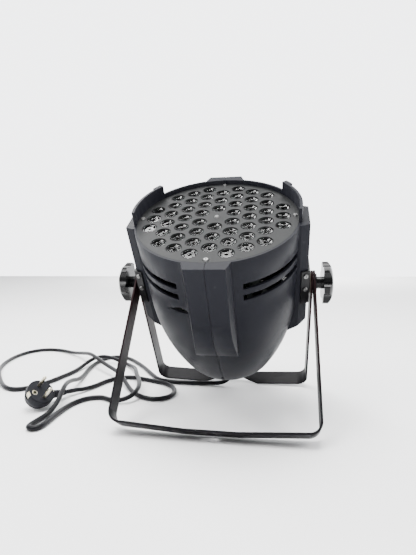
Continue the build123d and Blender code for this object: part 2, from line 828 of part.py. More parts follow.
knob_face = clamp_start + clamp_thickness + 0.1
knob_end = knob_start + knob_thickness
stud_end = knob_end - 5.0
with BuildPart() as knob_right:
    with BuildSketch(side_view.offset(knob_face)):
        Circle(hub_radius)
    extrude(amount=knob_start - knob_face)
    with BuildSketch(side_view.offset(knob_start)):
        Circle(knob_radius)
        with PolarLocations(knob_radius + 7.5, knob_lobes, start_angle=90 / knob_lobes):
            Circle(13.0, mode=Mode.SUBTRACT)
    extrude(amount=knob_thickness)
    fillet(knob_right.edges().filter_by(Axis.X).filter_by(lambda e: abs(e.length - knob_thickness) < 0.1), 2.0)
    # the outer face is domed, with a shallow dish in the middle
    with BuildSketch(Plane(origin=pivot, x_dir=lamp.z_dir, z_dir=lamp.y_dir)):
        with BuildLine():
            rim = Line((0, knob_face - 1), (knob_radius + 1, knob_face - 1))
            edge = Line(rim @ 1, (knob_radius + 1, knob_start + 5.5))
            dome = ThreePointArc(edge @ 1, (knob_radius - 6, knob_end - 1.2), (10, knob_end))
            Polyline(dome @ 1, (9, knob_end - 1.5), (0, knob_end - 1.5), (0, knob_face - 1))
        make_face()
    revolve(axis=Axis(pivot, (1, 0, 0)), mode=Mode.INTERSECT)
    with BuildSketch(side_view.offset(knob_face - 1)):
        Circle(stud_radius + running_gap)
    extrude(amount=stud_end + 3 - knob_face, mode=Mode.SUBTRACT)

nut_thickness = 6.5
with BuildPart() as stud_right:
    with BuildSketch(side_view.offset(boss_inner - nut_thickness - 1.5)):
        Circle(stud_radius)
    extrude(amount=stud_end - boss_inner + nut_thickness + 1.5)

with BuildPart() as stud_nuts:
    for nut_side in (1, -1):
        with BuildSketch(side_view.offset(nut_side * boss_inner)):
            RegularPolygon(6.5, 6, major_radius=False)
            Circle(stud_radius, mode=Mode.SUBTRACT)
        extrude(amount=-nut_side * nut_thickness)

slope_x = cos(radians(90 - flange_slope))
slope_y = sin(radians(90 - flange_slope))
with BuildPart() as bracket_screws:
    for screw_side in (1, -1):
        for flank_side in (1, -1):
            for screw_height in flange_screw_heights:
                place = lamp.from_local_coords((screw_side * flange_screw_place[0],
                                                flank_side * flange_screw_place[1], screw_height))
                outward = lamp.x_dir * screw_side * slope_x + lamp.y_dir * flank_side * slope_y
                screw_plane = Plane(origin=place, x_dir=lamp.z_dir, z_dir=outward)
                with BuildSketch(screw_plane.offset(0.42)):
                    Circle(3.2)
                extrude(amount=1.63, taper=20)
                with BuildSketch(screw_plane.offset(2.05)):
                    Rectangle(3.4, 0.8)
                    Rectangle(0.8, 3.4)
                extrude(amount=-0.9, mode=Mode.SUBTRACT)

left_parts = {}
for right_name, right_part in (("bracket", bracket_right), ("friction_disc", friction_disc_right),
                               ("yoke_washer", yoke_washer_right), ("clamp_washer", clamp_washer_right),
                               ("knob", knob_right), ("stud", stud_right)):
    left_parts[right_name + "_left"] = mirror(right_part.part, about=Plane.YZ)

# ======== housing screws, at the parting line on the back rib ========
with BuildPart() as safety_eye:
    eye_plane = Plane(origin=lamp.from_local_coords((0, rib_reach, 62)), x_dir=(1, 0, 0), z_dir=lamp.y_dir)
    with BuildSketch(eye_plane):
        Circle(7)
    extrude(amount=2.5)
    with BuildSketch(Plane(origin=eye_plane.origin + lamp.y_dir * 9.5, x_dir=(0, 1, 0), z_dir=(1, 0, 0))):
        Circle(8.5)
        Circle(5.5, mode=Mode.SUBTRACT)
    extrude(amount=1.75, both=True)

# ======== mains plug at the cord's end ========
plug_centre = Vector(-242.3, -42.1, 23.7)
plug_outward = Vector(0.656, -0.203, 0.727).normalized()
plug_exit = Vector(0.424, 0.896, -0.131)
plug_exit = (plug_exit - plug_outward * plug_exit.dot(plug_outward)).normalized()
plug_face = Plane(origin=plug_centre, x_dir=plug_exit, z_dir=plug_outward)
plug_radius = 18.8
plug_pin_spacing = 19.0
plug_pin_radius = 2.4
plug_pin_length = 19.0
exit_drop = 13.0
plug_neck_end = 20.0
plug_relief_length = 24.0
neck = Plane(origin=plug_centre - plug_outward * exit_drop, x_dir=plug_face.y_dir, z_dir=plug_exit)
earth_offset = 10.0
clip_width = 6.4
clip_depth = 2.2
with BuildPart() as plug_body:
    with BuildSketch(Plane(origin=plug_centre, x_dir=plug_exit, z_dir=-plug_face.y_dir)):
        with BuildLine():
            Polyline((0, 0), (plug_radius - 1, 0), (plug_radius, -1), (plug_radius, -9),
                     (plug_radius - 3.5, -18), (plug_radius - 7, -19.6), (0, -19.6), close=True)
        make_face()
    revolve(axis=Axis(plug_centre, plug_outward))
    with BuildSketch(neck.offset(8)):
        Circle(6.6)
    extrude(amount=plug_neck_end - 8)
    with BuildSketch(plug_face):
        with Locations((-earth_offset, 0)):
            Circle(3.6)
    extrude(amount=-12, mode=Mode.SUBTRACT)
    with BuildSketch(plug_face):
        with Locations((plug_radius, 0), (-plug_radius, 0)):
            Rectangle(2 * clip_depth, clip_width + 1.2)
    extrude(amount=-8.6, mode=Mode.SUBTRACT)

with BuildPart() as plug_pins:
    with BuildSketch(plug_face):
        with GridLocations(1, plug_pin_spacing, 1, 2):
            Circle(plug_pin_radius)
    extrude(amount=plug_pin_length)
    fillet(plug_pins.edges().group_by(Axis(plug_centre, plug_outward))[-1], 1.4)

with BuildPart() as plug_earth:
    with BuildSketch(plug_face.offset(-11.8)):
        with Locations((-earth_offset, 0)):
            Circle(3.6)
            Circle(2.4, mode=Mode.SUBTRACT)
    extrude(amount=11.8)
    for clip_side in (1, -1):
        with BuildSketch(plug_face.offset(-8.6)):
            with Locations((clip_side * (plug_radius - clip_depth + 0.4), 0)):
                Rectangle(0.8, clip_width)
        extrude(amount=8.6)
        with BuildSketch(plug_face.offset(-4.6)):
            with Locations((clip_side * (plug_radius - clip_depth + 1.2), 0)):
                Rectangle(0.8, clip_width)
        extrude(amount=3.0)

with BuildPart() as plug_relief:
    add(boot(neck.offset(plug_neck_end), plug_relief_length, 6.2, relief_tip))

# ======== power cord: straight runs joined by tangent arcs ========
relief_end = gland_at.offset(gland_collar + relief_length).origin
plug_relief_end = neck.offset(plug_neck_end + plug_relief_length).origin
exit_run = 9.0
plug_run = 7.0
cord_route = [
    relief_end, relief_end + gland_at.z_dir * exit_run,
    (-6, 86.2, 8), (-17, 87, 3.7), (-40, 85.1, 3.3), (-70, 82.5, 3.3), (-97, 83.1, 3.3),
    (-119, 92.3, 3.3), (-139, 119.3, 3.3), (-166, 158.3, 3.3), (-193, 190.3, 3.3),
    (-213, 210.3, 3.3), (-232, 220.3, 3.3), (-250, 217.3, 3.3), (-261, 201.3, 3.3),
    (-264.5, 177.3, 3.3), (-263, 152.3, 3.3), (-258, 121.3, 3.3), (-250, 91.3, 3.5),
    (-243, 61.3, 7.5), (-238, 30.3, 16), (-232.5, 6.3, 20.2), (-226, -14.7, 19.6),
    (-220.5, -38.7, 10), (-219, -62.7, 3.5), (-220, -78.7, 3.3), (-221.5, -91.7, 3.3),
    (-222, -103.2, 3.3), (-217.6, -108.2, 3.3), (-211.2, -108.2, 3.3), (-206.8, -103.2, 3.3),
    (-206.3, -91.7, 3.3), (-207.8, -71.7, 3.3), (-208.5, -45.7, 3.3), (-205, -21.7, 3.3),
    (-194, -3.7, 3.3), (-176, 2.3, 3.3), (-161, -5.7, 3.3), (-145, -11.2, 4.4), (-130, -3.7, 8.4),
    (-126, 13.3, 12.8), (-130, 33.3, 14.5), (-139, 56.3, 14), (-151, 79.3, 13.9),
    (-162, 105.3, 13.6), (-174, 133.3, 8.5), (-192, 159.3, 4.6), (-215, 177.3, 5.2),
    (-239, 186.3, 10.5), (-259, 182.3, 13.8), (-272, 167.3, 11), (-277.5, 145.3, 5),
    (-278, 116.3, 3.3), (-284, 82.3, 3.3), (-292, 49.3, 3.3), (-303, 24.3, 3.3), (-322, 12.3, 3.3),
    (-343, 18.3, 3.3), (-366, 39.3, 3.3), (-395, 72.3, 3.3), (-421, 107.3, 3.3),
    (-440, 147.3, 3.3), (-450, 194.3, 3.3), (-444, 235.3, 3.3), (-419, 258.3, 3.3),
    (-383, 255.3, 3.3), (-343, 232.3, 4.5), (-307, 203.3, 12.5), (-277, 172.3, 20.6),
    (-255, 151.3, 19.5), (-230, 130.3, 15), (-205, 107.3, 13.7), (-183, 85.3, 13.5),
    (-165, 63.3, 8), (-149, 41.3, 3.5), (-134, 23.3, 3.3), (-118, 10.3, 3.3), (-100, 4.3, 3.3),
    (-83, 12.3, 3.3), (-76, 30.3, 3.3), (-80, 49.3, 3.3), (-89, 64.3, 3.3), (-103, 75.3, 3.3),
    (-122, 82.8, 3.3), (-142, 90.3, 3.3), (-160, 96.3, 3.3), (-176, 96.3, 3.3), (-189, 87.3, 3.3),
    (-199, 73.3, 3.3), (-204, 57.3, 3.3), (-209, 41.3, 3.5), (-216.5, 27.3, 4.4),
    (-224, 15.8, 6.6),
    plug_relief_end + plug_exit * plug_run, plug_relief_end,
]
cord_points = [Vector(point) for point in cord_route]
runs = [(after - before).length for before, after in zip(cord_points, cord_points[1:])]
cord_radii = []
for index in range(1, len(cord_points) - 1):
    incoming = cord_points[index] - cord_points[index - 1]
    outgoing = cord_points[index + 1] - cord_points[index]
    half_turn = radians(incoming.get_angle(outgoing)) / 2
    cord_radii.append(0.45 * min(runs[index - 1], runs[index]) / tan(half_turn))
print("cord radii", [round(radius, 1) for radius in cord_radii])

with BuildPart() as power_cord:
    with BuildLine() as cord_line:
        FilletPolyline(*cord_points, radius=cord_radii)
    with BuildSketch(Plane(origin=cord_points[0], z_dir=cord_line.line % 0)):
        Circle(cord_diameter / 2)
    sweep()
cord_length = sum(edge.length for edge in cord_line.line.edges())
print("cord length", round(cord_length, 1), "volume", round(power_cord.part.volume),
      "section times length", round(pi * cord_diameter**2 / 4 * cord_length))

# ======== export ========
pieces = {
    "front_yoke": front_yoke.part, "rear_yoke": rear_yoke.part,
    "housing_right": housing_right.part, "housing_left": housing_left.part,
    "face_plate": face_plate.part, "lenses": lenses.part, "lens_holders": lens_holders.part,
    "led_board": led_board.part, "led_emitters": led_emitters.part, "heat_sink": heat_sink.part,
    "face_screws": face_screws.part, "fan_frame": fan_frame.part, "fan_rotor": fan_rotor.part,
    "fan_screws": fan_screws.part, "power_supply": power_supply.part, "supply_posts": supply_posts.part,
    "tray": tray.part, "rear_panel": rear_panel.part, "panel_screws": panel_screws.part,
    "display_window": display_window.part, "display": display.part, "control_board": control_board.part,
    "dmx_in": dmx_in.part, "dmx_in_pins": dmx_in_pins.part, "dmx_out": dmx_out.part,
    "dmx_out_insert": dmx_out_insert.part, "dmx_latch": dmx_latch.part,
    "cable_gland": cable_gland.part, "gland_nut": gland_nut.part, "strain_relief": strain_relief.part,
    "bracket_right": bracket_right.part, "friction_disc_right": friction_disc_right.part,
    "yoke_washer_right": yoke_washer_right.part, "clamp_washer_right": clamp_washer_right.part,
    "knob_right": knob_right.part, "stud_right": stud_right.part, "stud_nuts": stud_nuts.part,
    "bracket_screws": bracket_screws.part, "safety_eye": safety_eye.part,
    "plug_body": plug_body.part, "plug_pins": plug_pins.part, "plug_earth": plug_earth.part,
    "plug_relief": plug_relief.part, "power_cord": power_cord.part,
}
pieces.update(buttons)
pieces.update(left_parts)
for name, piece in pieces.items():
    piece.label = name
    export_step(piece, f"parts/{name}.step")
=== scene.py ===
import bpy
from mathutils import Matrix, Vector


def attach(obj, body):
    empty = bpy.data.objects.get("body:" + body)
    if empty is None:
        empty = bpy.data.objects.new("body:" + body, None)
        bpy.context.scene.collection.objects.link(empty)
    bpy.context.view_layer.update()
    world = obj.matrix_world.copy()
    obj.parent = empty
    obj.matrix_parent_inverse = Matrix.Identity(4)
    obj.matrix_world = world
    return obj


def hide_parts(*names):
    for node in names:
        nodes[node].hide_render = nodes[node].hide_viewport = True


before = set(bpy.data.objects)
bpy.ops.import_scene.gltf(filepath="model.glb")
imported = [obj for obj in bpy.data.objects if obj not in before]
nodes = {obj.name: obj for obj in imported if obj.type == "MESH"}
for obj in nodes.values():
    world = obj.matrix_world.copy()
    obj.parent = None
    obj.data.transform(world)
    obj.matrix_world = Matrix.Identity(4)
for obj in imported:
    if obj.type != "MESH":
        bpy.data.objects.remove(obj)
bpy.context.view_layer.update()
scene = bpy.context.scene
print("frame loaded:", len(nodes), "pieces")

# camera: low in front, a little to the right, looking slightly down
cameraPlace = {
    "location": (0.0729, -0.5299, 0.2095),
    "right": (0.9854, 0.1701, -0.0086),
    "up": (-0.0020, 0.0619, 0.9981),
    "lens": 26.01,
    "sensor": 36,
    "nearest": 0.01,
}
cameraData = bpy.data.cameras.new("camera")
cameraData.lens = cameraPlace["lens"]
cameraData.sensor_width = cameraPlace["sensor"]
cameraData.clip_start = cameraPlace["nearest"]
camera = bpy.data.objects.new("camera", cameraData)
rightAxis = Vector(cameraPlace["right"]).normalized()
backAxis = rightAxis.cross(Vector(cameraPlace["up"])).normalized()
upAxis = backAxis.cross(rightAxis)
turned = Matrix((rightAxis, upAxis, backAxis)).transposed()
camera.matrix_world = Matrix.Translation(cameraPlace["location"]) @ turned.to_4x4()
scene.collection.objects.link(camera)
scene.camera = camera

# the mains lead: its route from the gland to the plug
leadSettings = {"diameter": 0.0066, "length": 2.29, "resolution": 10, "roundness": 6}
leadRoute = [
    (0, 0.0778, 0.0238), (0, 0.0827, 0.0163), (-0.006, 0.0862, 0.008), (-0.017, 0.087, 0.0037),
    (-0.04, 0.0851, 0.0033), (-0.07, 0.0825, 0.0033), (-0.097, 0.0831, 0.0033), (-0.119, 0.0923, 0.0033),
    (-0.139, 0.1193, 0.0033), (-0.166, 0.1583, 0.0033), (-0.193, 0.1903, 0.0033), (-0.213, 0.2103, 0.0033),
    (-0.232, 0.2203, 0.0033), (-0.25, 0.2173, 0.0033), (-0.261, 0.2013, 0.0033), (-0.2645, 0.1773, 0.0033),
    (-0.263, 0.1523, 0.0033), (-0.258, 0.1213, 0.0033), (-0.25, 0.0913, 0.0035), (-0.243, 0.0613, 0.0075),
    (-0.238, 0.0303, 0.016), (-0.2325, 0.0063, 0.0202), (-0.226, -0.0147, 0.0196),
    (-0.2205, -0.0387, 0.01), (-0.219, -0.0627, 0.0035), (-0.22, -0.0787, 0.0033),
    (-0.2215, -0.0917, 0.0033), (-0.222, -0.1032, 0.0033), (-0.2176, -0.1082, 0.0033),
    (-0.2112, -0.1082, 0.0033), (-0.2068, -0.1032, 0.0033), (-0.2063, -0.0917, 0.0033),
    (-0.2078, -0.0717, 0.0033), (-0.2085, -0.0457, 0.0033), (-0.205, -0.0217, 0.0033),
    (-0.194, -0.0037, 0.0033), (-0.176, 0.0023, 0.0033), (-0.161, -0.0057, 0.0033),
    (-0.145, -0.0112, 0.0044), (-0.13, -0.0037, 0.0084), (-0.126, 0.0133, 0.0128), (-0.13, 0.0333, 0.0145),
    (-0.139, 0.0563, 0.014), (-0.151, 0.0793, 0.0139), (-0.162, 0.1053, 0.0136), (-0.174, 0.1333, 0.0085),
    (-0.192, 0.1593, 0.0046), (-0.215, 0.1773, 0.0052), (-0.239, 0.1863, 0.0105), (-0.259, 0.1823, 0.0138),
    (-0.272, 0.1673, 0.011), (-0.2775, 0.1453, 0.005), (-0.278, 0.1163, 0.0033), (-0.284, 0.0823, 0.0033),
    (-0.292, 0.0493, 0.0033), (-0.303, 0.0243, 0.0033), (-0.322, 0.0123, 0.0033), (-0.343, 0.0183, 0.0033),
    (-0.366, 0.0393, 0.0033), (-0.395, 0.0723, 0.0033), (-0.421, 0.1073, 0.0033), (-0.44, 0.1473, 0.0033),
    (-0.45, 0.1943, 0.0033), (-0.444, 0.2353, 0.0033), (-0.419, 0.2583, 0.0033), (-0.383, 0.2553, 0.0033),
    (-0.343, 0.2323, 0.0045), (-0.307, 0.2033, 0.0125), (-0.277, 0.1723, 0.0206), (-0.255, 0.1513, 0.0195),
    (-0.23, 0.1303, 0.015), (-0.205, 0.1073, 0.0137), (-0.183, 0.0853, 0.0135), (-0.165, 0.0633, 0.008),
    (-0.149, 0.0413, 0.0035), (-0.134, 0.0233, 0.0033), (-0.118, 0.0103, 0.0033), (-0.1, 0.0043, 0.0033),
    (-0.083, 0.0123, 0.0033), (-0.076, 0.0303, 0.0033), (-0.08, 0.0493, 0.0033), (-0.089, 0.0643, 0.0033),
    (-0.103, 0.0753, 0.0033), (-0.122, 0.0828, 0.0033), (-0.142, 0.0903, 0.0033), (-0.16, 0.0963, 0.0033),
    (-0.176, 0.0963, 0.0033), (-0.189, 0.0873, 0.0033), (-0.199, 0.0733, 0.0033), (-0.204, 0.0573, 0.0033),
    (-0.209, 0.0413, 0.0035), (-0.2165, 0.0273, 0.0044), (-0.224, 0.0158, 0.0066),
    (-0.2292, 0.0063, 0.0075), (-0.2322, 0, 0.0085),
]
leadCurve = bpy.data.curves.new("lead", "CURVE")
leadCurve.dimensions = "3D"
leadLine = leadCurve.splines.new("NURBS")
leadLine.points.add(len(leadRoute) - 1)
for point, place in zip(leadLine.points, leadRoute):
    point.co = (*place, 1)
    point.radius = leadSettings["diameter"] / 2
leadLine.order_u = 3
leadLine.use_endpoint_u = True
leadLine.resolution_u = leadSettings["resolution"]
leadCurve.bevel_depth = 1
leadCurve.bevel_resolution = leadSettings["roundness"]
lead = bpy.data.objects.new("lead", leadCurve)
scene.collection.objects.link(lead)
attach(lead, "lamp")
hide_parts("power_cord")
print("lead laid")


# shared effects
def newGroup(name, inputs, outputs):
    group = bpy.data.node_groups.new(name, "ShaderNodeTree")
    for socketName, value in inputs:
        socket = group.interface.new_socket(name=socketName, in_out="INPUT",
                                            socket_type="NodeSocketFloat")
        socket.default_value = value
    for socketName in outputs:
        group.interface.new_socket(name=socketName, in_out="OUTPUT", socket_type="NodeSocketFloat")
    return group, group.nodes.new("NodeGroupInput"), group.nodes.new("NodeGroupOutput")


def noiseInto(group, groupInput, scaleSocket, detail, roughness):
    coordinates = group.nodes.new("ShaderNodeTexCoord")
    noise = group.nodes.new("ShaderNodeTexNoise")
    noise.inputs["Detail"].default_value = detail
    noise.inputs["Roughness"].default_value = roughness
    group.links.new(coordinates.outputs["Object"], noise.inputs["Vector"])
    group.links.new(groupInput.outputs[scaleSocket], noise.inputs["Scale"])
    return noise.outputs["Fac"]


def rangeNode(tree, source, fromLow, fromHigh, toLow, toHigh):
    ranged = tree.nodes.new("ShaderNodeMapRange")
    ranged.inputs["From Min"].default_value = fromLow
    ranged.inputs["From Max"].default_value = fromHigh
    ranged.inputs["To Min"].default_value = toLow
    ranged.inputs["To Max"].default_value = toHigh
    tree.links.new(source, ranged.inputs["Value"])
    return ranged.outputs["Result"]


# paint grain: fine orange peel with larger clouds under it
paintGrain, grainIn, grainOut = newGroup("paintGrain", [("Grain Scale", 900), ("Cloud Scale", 14)],
                                         ["Height", "Clouds"])
fineNoise = noiseInto(paintGrain, grainIn, "Grain Scale", 3, 0.55)
cloudNoise = noiseInto(paintGrain, grainIn, "Cloud Scale", 5, 0.6)
paintGrain.links.new(fineNoise, grainOut.inputs["Height"])
paintGrain.links.new(rangeNode(paintGrain, cloudNoise, 0.35, 0.68, 0, 1), grainOut.inputs["Clouds"])

# handling marks: thin scratches and small rubbed spots
handlingMarks, marksIn, marksOut = newGroup("handlingMarks", [("Scratch Scale", 60), ("Spot Scale", 160)],
                                            ["Scratches", "Spots"])
marksCoordinates = handlingMarks.nodes.new("ShaderNodeTexCoord")
stretch = handlingMarks.nodes.new("ShaderNodeMapping")
stretch.inputs["Scale"].default_value = (1.0, 7.0, 0.6)
stretch.inputs["Rotation"].default_value = (0.4, 0.2, 0.7)
handlingMarks.links.new(marksCoordinates.outputs["Object"], stretch.inputs["Vector"])
scratchNoise = handlingMarks.nodes.new("ShaderNodeTexNoise")
scratchNoise.inputs["Detail"].default_value = 6
handlingMarks.links.new(stretch.outputs["Vector"], scratchNoise.inputs["Vector"])
handlingMarks.links.new(marksIn.outputs["Scratch Scale"], scratchNoise.inputs["Scale"])
handlingMarks.links.new(rangeNode(handlingMarks, scratchNoise.outputs["Fac"], 0.66, 0.72, 0, 1),
                        marksOut.inputs["Scratches"])
spotNoise = noiseInto(handlingMarks, marksIn, "Spot Scale", 2, 0.5)
handlingMarks.links.new(rangeNode(handlingMarks, spotNoise, 0.70, 0.76, 0, 1), marksOut.inputs["Spots"])

# settled dust: on faces that look up
settledDust, dustIn, dustOut = newGroup("settledDust", [("Dust Scale", 120), ("Amount", 0.25)], ["Dust"])
geometry = settledDust.nodes.new("ShaderNodeNewGeometry")
splitNormal = settledDust.nodes.new("ShaderNodeSeparateXYZ")
settledDust.links.new(geometry.outputs["Normal"], splitNormal.inputs[0])
facingUp = rangeNode(settledDust, splitNormal.outputs["Z"], 0.3, 1.0, 0, 1)
dustSpread = noiseInto(settledDust, dustIn, "Dust Scale", 6, 0.65)
dustNoise = rangeNode(settledDust, dustSpread, 0.45, 0.75, 0, 1)
dustProduct = settledDust.nodes.new("ShaderNodeMath")
dustProduct.operation = "MULTIPLY"
settledDust.links.new(facingUp, dustProduct.inputs[0])
settledDust.links.new(dustNoise, dustProduct.inputs[1])
dustAmount = settledDust.nodes.new("ShaderNodeMath")
dustAmount.operation = "MULTIPLY"
settledDust.links.new(dustProduct.outputs[0], dustAmount.inputs[0])
settledDust.links.new(dustIn.outputs["Amount"], dustAmount.inputs[1])
settledDust.links.new(dustAmount.outputs[0], dustOut.inputs["Dust"])

# height tint: a soft band between two heights of the piece
heightTint, tintIn, tintOut = newGroup("heightTint", [("Low", 0.08), ("High", 0.16)], ["Share"])
tintCoordinates = heightTint.nodes.new("ShaderNodeTexCoord")
tintAxes = heightTint.nodes.new("ShaderNodeSeparateXYZ")
heightTint.links.new(tintCoordinates.outputs["Object"], tintAxes.inputs[0])
tintRange = heightTint.nodes.new("ShaderNodeMapRange")
heightTint.links.new(tintAxes.outputs["Z"], tintRange.inputs["Value"])
heightTint.links.new(tintIn.outputs["Low"], tintRange.inputs["From Min"])
heightTint.links.new(tintIn.outputs["High"], tintRange.inputs["From Max"])
heightTint.links.new(tintRange.outputs["Result"], tintOut.inputs["Share"])
print("shared effects ready")


def placeGroup(tree, group, **values):
    node = tree.nodes.new("ShaderNodeGroup")
    node.node_tree = group
    for name, value in values.items():
        node.inputs[name.replace("_", " ")].default_value = value
    return node


def mixColours(tree, factor, first, second):
    mix = tree.nodes.new("ShaderNodeMix")
    mix.data_type = "RGBA"
    tree.links.new(factor, mix.inputs["Factor"])
    for socket, colour in (("A", first), ("B", second)):
        target = [entry for entry in mix.inputs if entry.name == socket and entry.type == "RGBA"][0]
        if isinstance(colour, tuple):
            target.default_value = (*colour, 1)
        else:
            tree.links.new(colour, target)
    return [entry for entry in mix.outputs if entry.type == "RGBA"][0]


plainLook = {
    "metallic": 0, "ior": 1.5, "specular": 0.5, "transmission": 0, "coat": 0, "coatRoughness": 0.1,
    "grainScale": 900, "cloudScale": 14, "bump": 0.12, "bumpDepth": 0.0002,
    "scratchScale": 60, "spotScale": 160, "scratchRoughness": 0.1, "wear": 0.15,
    "dustScale": 120, "dust": 0.1, "dustColour": (0.35, 0.34, 0.33),
}


def makeSurface(name, finish):
    look = {**plainLook, "worn": finish["light"], **finish}
    material = bpy.data.materials.new(name)
    material.use_nodes = True
    tree = material.node_tree
    shader = tree.nodes["Principled BSDF"]
    shader.inputs["Metallic"].default_value = look["metallic"]
    shader.inputs["IOR"].default_value = look["ior"]
    shader.inputs["Specular IOR Level"].default_value = look["specular"]
    shader.inputs["Transmission Weight"].default_value = look["transmission"]
    shader.inputs["Coat Weight"].default_value = look["coat"]
    shader.inputs["Coat Roughness"].default_value = look["coatRoughness"]
    grain = placeGroup(tree, paintGrain, Grain_Scale=look["grainScale"], Cloud_Scale=look["cloudScale"])
    marks = placeGroup(tree, handlingMarks, Scratch_Scale=look["scratchScale"],
                       Spot_Scale=look["spotScale"])
    dust = placeGroup(tree, settledDust, Dust_Scale=look["dustScale"], Amount=look["dust"])
    colour = mixColours(tree, grain.outputs["Clouds"], look["dark"], look["light"])
    if "tint" in look:
        low, high = look["tintHeights"]
        legTint = placeGroup(tree, heightTint, Low=low, High=high)
        colour = mixColours(tree, legTint.outputs["Share"], colour, look["tint"])
    wear = tree.nodes.new("ShaderNodeMath")
    wear.operation = "MULTIPLY"
    wear.inputs[1].default_value = look["wear"]
    tree.links.new(marks.outputs["Spots"], wear.inputs[0])
    colour = mixColours(tree, wear.outputs[0], colour, look["worn"])
    colour = mixColours(tree, dust.outputs["Dust"], colour, look["dustColour"])
    tree.links.new(colour, shader.inputs["Base Color"])
    smooth, rough = look["roughness"]
    roughness = rangeNode(tree, grain.outputs["Clouds"], 0, 1, smooth, rough)
    scratched = tree.nodes.new("ShaderNodeMath")
    scratched.operation = "MULTIPLY_ADD"
    scratched.inputs[1].default_value = look["scratchRoughness"]
    tree.links.new(marks.outputs["Scratches"], scratched.inputs[0])
    tree.links.new(roughness, scratched.inputs[2])
    tree.links.new(scratched.outputs[0], shader.inputs["Roughness"])
    bump = tree.nodes.new("ShaderNodeBump")
    bump.inputs["Strength"].default_value = look["bump"]
    bump.inputs["Distance"].default_value = look["bumpDepth"]
    tree.links.new(grain.outputs["Height"], bump.inputs["Height"])
    tree.links.new(bump.outputs["Normal"], shader.inputs["Normal"])
    return material


finishes = {
    "castingPaint": {
        "dark": (0.008, 0.0084, 0.0118), "light": (0.0115, 0.0121, 0.0164), "roughness": (0.34, 0.44),
        "specular": 0.07, "grainScale": 1400, "bump": 0.16, "cloudScale": 9, "dust": 0.002,
        "worn": (0.05, 0.05, 0.055),
    },
    "yokePaint": {
        "dark": (0.006, 0.0056, 0.0068), "light": (0.01, 0.0094, 0.0112), "roughness": (0.4, 0.5),
        "specular": 0.07, "grainScale": 1100, "bump": 0.14, "cloudScale": 16, "dust": 0.003,
        "worn": (0.05, 0.04, 0.04), "wear": 0.2, "tint": (0.014, 0.0042, 0.0055),
        "tintHeights": (0.05, 0.125),
    },
    "facePaint": {
        "dark": (0.012, 0.0125, 0.013), "light": (0.019, 0.02, 0.0205), "roughness": (0.36, 0.5),
        "specular": 0.09, "grainScale": 1600, "bump": 0.2, "dust": 0.01, "dustScale": 260,
        "worn": (0.1, 0.1, 0.1),
    },
    "lensAcrylic": {
        "dark": (0.1, 0.12, 0.115), "light": (0.16, 0.19, 0.18), "roughness": (0.08, 0.16),
        "specular": 0.16, "transmission": 1.0, "ior": 1.49, "bump": 0.02, "dust": 0.0, "wear": 0.02,
        "scratchRoughness": 0.05,
    },
    "mouldedBlack": {
        "dark": (0.006, 0.006, 0.0065), "light": (0.011, 0.011, 0.012), "roughness": (0.45, 0.6),
        "specular": 0.1, "grainScale": 1200, "bump": 0.25,
    },
    "boardGreen": {
        "dark": (0.003, 0.01, 0.006), "light": (0.005, 0.015, 0.009), "roughness": (0.4, 0.5),
        "specular": 0.1, "dust": 0.0,
    },
    "ledChip": {
        "dark": (0.05, 0.05, 0.04), "light": (0.09, 0.09, 0.07), "roughness": (0.2, 0.3), "dust": 0,
    },
    "blackAnodised": {
        "dark": (0.006, 0.006, 0.006), "light": (0.01, 0.01, 0.01), "roughness": (0.5, 0.6),
        "specular": 0.1, "grainScale": 700, "bump": 0.2, "dust": 0.0,
    },
    "zincSteel": {
        "dark": (0.13, 0.13, 0.13), "light": (0.24, 0.24, 0.235), "roughness": (0.26, 0.4),
        "metallic": 1, "bump": 0.1, "dust": 0.04, "worn": (0.4, 0.38, 0.34),
    },
    "blackHardware": {
        "dark": (0.005, 0.005, 0.0055), "light": (0.01, 0.01, 0.011), "roughness": (0.25, 0.4),
        "specular": 0.12, "dust": 0.01,
    },
    "windowTint": {
        "dark": (0.05, 0.012, 0.012), "light": (0.07, 0.02, 0.02), "roughness": (0.05, 0.1),
        "dust": 0.05, "coat": 0.5,
    },
    "buttonPlastic": {
        "dark": (0.03, 0.03, 0.033), "light": (0.045, 0.045, 0.05), "roughness": (0.25, 0.35),
    },
    "knobPlastic": {
        "dark": (0.003, 0.003, 0.0035), "light": (0.006, 0.006, 0.0065), "roughness": (0.14, 0.22),
        "specular": 0.18, "grainScale": 500, "bump": 0.05, "dust": 0.003,
    },
    "leadRubber": {
        "dark": (0.004, 0.004, 0.0052), "light": (0.008, 0.008, 0.01), "roughness": (0.34, 0.46),
        "specular": 0.12, "grainScale": 800, "bump": 0.1, "dust": 0.006,
    },
    "plugRubber": {
        "dark": (0.007, 0.0075, 0.01), "light": (0.012, 0.0125, 0.016), "roughness": (0.42, 0.55),
        "specular": 0.1, "grainScale": 700, "bump": 0.2, "dust": 0.01,
    },
    "pinMetal": {
        "dark": (0.55, 0.5, 0.38), "light": (0.78, 0.74, 0.6), "roughness": (0.2, 0.36), "metallic": 1,
        "grainScale": 600, "dust": 0, "worn": (0.5, 0.38, 0.2), "wear": 0.5,
    },
    "fibreDisc": {
        "dark": (0.05, 0.04, 0.03), "light": (0.09, 0.07, 0.05), "roughness": (0.7, 0.85),
        "grainScale": 500, "bump": 0.4,
    },
}
materials = {name: makeSurface(name, look) for name, look in finishes.items()}
print("materials made:", len(materials))

